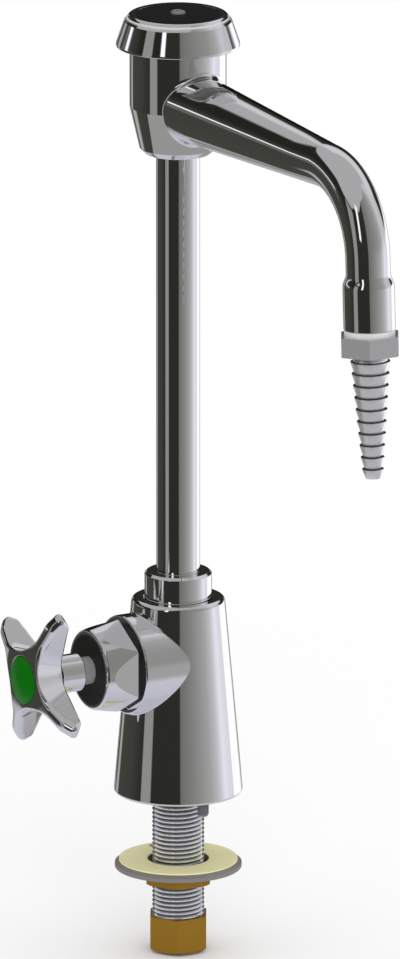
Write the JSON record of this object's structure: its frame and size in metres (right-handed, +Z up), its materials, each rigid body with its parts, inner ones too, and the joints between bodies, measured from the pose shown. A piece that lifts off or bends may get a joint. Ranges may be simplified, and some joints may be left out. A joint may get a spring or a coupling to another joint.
{
  "type": "laboratory gooseneck tap",
  "caption": "Deck-mounted laboratory gooseneck tap with a cross-handle valve, a swinging riser and spout, a vacuum breaker and a serrated hose nozzle.",
  "frame": {"origin": "centre of the turret's underside, on the deck's top surface", "axes": "+Z up along the riser; the spout rests along -Y and the valve handle along -X"},
  "size_m": [0.0987, 0.1937, 0.3856],
  "materials": {
    "chrome": "polished chrome plate",
    "satin_chrome": "satin chrome plate",
    "brass": "plain machined brass",
    "steel": "grey steel",
    "fibre": "cream fibre",
    "rubber": "black rubber",
    "black_disc": "black enamel",
    "green_button": "gloss green",
    "acetal": "white acetal"
  },
  "bodies": {
    "turret": {"turret_body": "chrome", "base_gasket": "rubber", "inlet_shank": "chrome", "locating_stud": "steel", "coupling_nut": "brass", "friction_ring": "brass", "cone_washer": "rubber", "valve_seat": "brass", "cartridge_housing": "brass", "cartridge_seal": "rubber", "bonnet_gasket": "rubber", "bonnet": "chrome", "wiper_ring": "rubber", "collar": "chrome", "swivel_bush": "acetal"},
    "clamp_washers": {"deck_washer": "steel", "fibre_washer": "fibre"},
    "clamp_nut": {"lock_nut": "brass"},
    "plunger": {"plunger": "brass", "plunger_seal": "rubber", "seat_washer": "rubber", "seat_screw": "brass"},
    "handle": {"stem": "chrome", "stem_seals": "rubber", "handle": "chrome", "handle_screw": "steel", "index_button": "green_button"},
    "spout": {"riser_pipe": "chrome", "riser_seal": "rubber", "breaker_body": "chrome", "breaker_seat": "brass", "breaker_gasket": "rubber", "breaker_bonnet": "brass", "breaker_cap": "chrome", "cap_disc": "black_disc", "cap_screw": "steel", "outlet_gasket": "acetal", "hose_nozzle": "satin_chrome"},
    "float": {"float_body": "acetal", "float_seat_disc": "rubber", "float_air_disc": "rubber"}
  },
  "joints": [
    {"name": "handle_turn", "type": "hinge", "parent": "turret", "child": "handle", "pos_m": [-0.05, 0, 0.0553], "axis": [-1, 0, 0], "range_deg": [0, 90]},
    {"name": "plunger_lift", "type": "slide", "parent": "turret", "child": "plunger", "axis": [-1, 0, 0], "range_m": [0, 0.003]},
    {"name": "spout_swing", "type": "hinge", "parent": "turret", "child": "spout", "pos_m": [0, 0, 0.0803], "axis": [0, 0, 1], "continuous": true},
    {"name": "float_lift", "type": "slide", "parent": "spout", "child": "float", "axis": [0, 0, 1], "range_m": [0, 0.004]},
    {"name": "clamp_travel", "type": "slide", "parent": "turret", "child": "clamp_washers", "axis": [0, 0, 1], "range_m": [-0.013, 0.022]},
    {"name": "lock_nut_turn", "type": "hinge", "parent": "clamp_washers", "child": "clamp_nut", "pos_m": [0, 0, -0.0347], "axis": [0, 0, 1], "range_deg": [-2580, 4366]}
  ],
  "couplings": [
    {"joint": "plunger_lift", "follows": "handle_turn", "m_per_rad": 0.0019099},
    {"joint": "lock_nut_turn", "follows": "clamp_travel", "rad_per_m": 3463.1}
  ]
}
